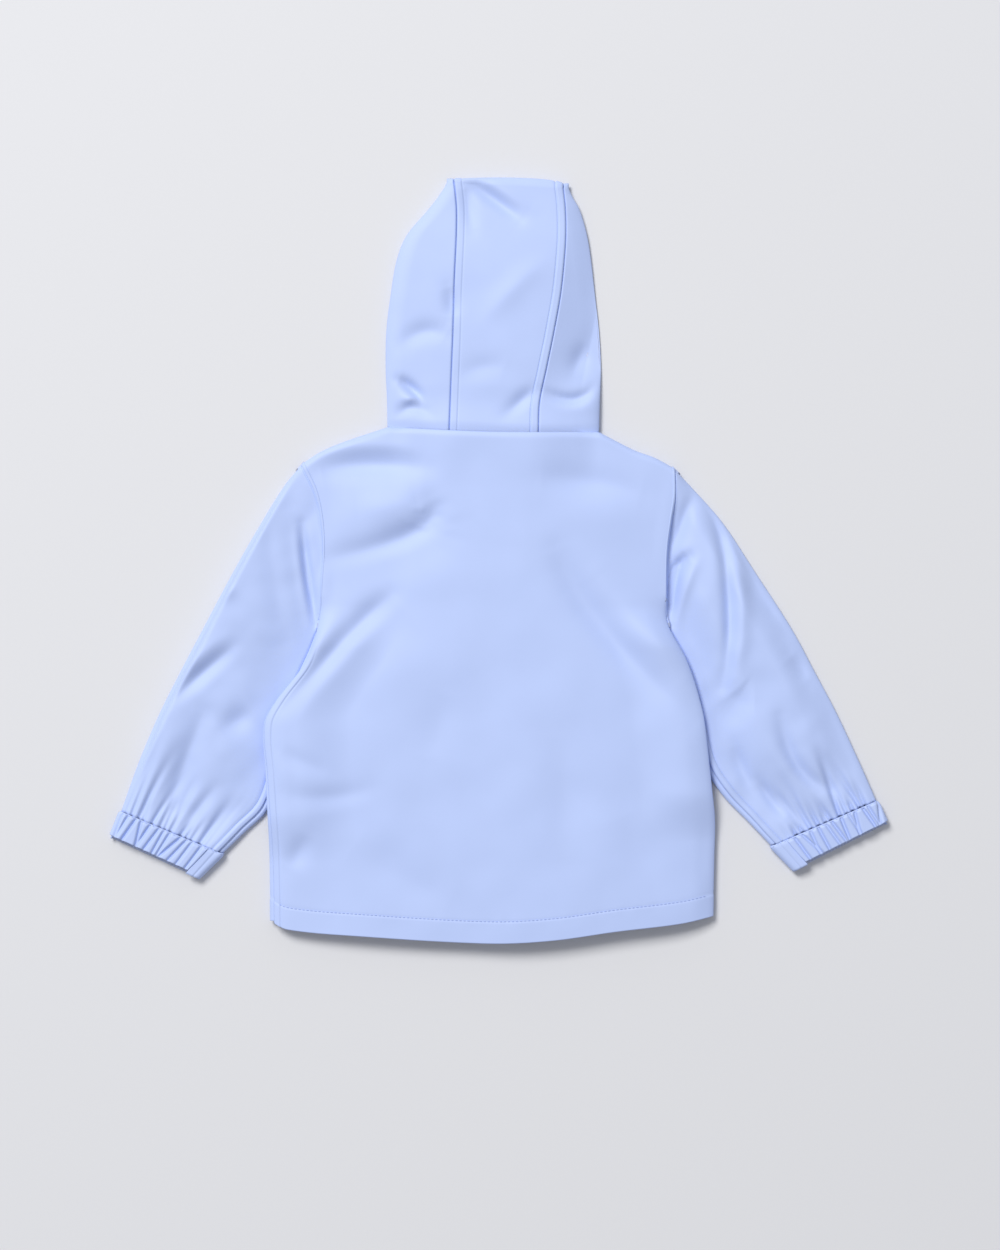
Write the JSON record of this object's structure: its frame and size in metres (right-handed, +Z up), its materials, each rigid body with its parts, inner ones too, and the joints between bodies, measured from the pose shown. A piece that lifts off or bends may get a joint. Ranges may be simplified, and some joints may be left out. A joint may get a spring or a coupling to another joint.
{
  "type": "kids raincoat",
  "caption": "Child's hooded raincoat of coated cloth, snapped shut and laid flat on its front, with set-in sleeves, half-elasticated cuffs and a panelled hood.",
  "frame": {"origin": "on the surface the coat lies on, under the middle of its outline", "axes": "+Z up from the surface to the coat's back, +Y from the hem to the hood, +X to the wearer's right"},
  "size_m": [0.6608, 0.6512, 0.0208],
  "materials": {
    "coated_cloth": "matt polyurethane coating on a knit backing",
    "snap_plastic": "moulded, satin"
  },
  "bodies": {
    "root": {"back": "coated_cloth", "front_left": "coated_cloth", "front_right": "coated_cloth", "sleeve_left": "coated_cloth", "sleeve_right": "coated_cloth", "cuff_gathered_left": "coated_cloth", "cuff_gathered_right": "coated_cloth", "cuff_plain_left": "coated_cloth", "cuff_plain_right": "coated_cloth", "hood_left": "coated_cloth", "hood_right": "coated_cloth", "hood_centre": "coated_cloth", "snap_1": "snap_plastic", "snap_2": "snap_plastic", "snap_3": "snap_plastic", "snap_4": "snap_plastic", "snap_5": "snap_plastic"}
  },
  "joints": []
}
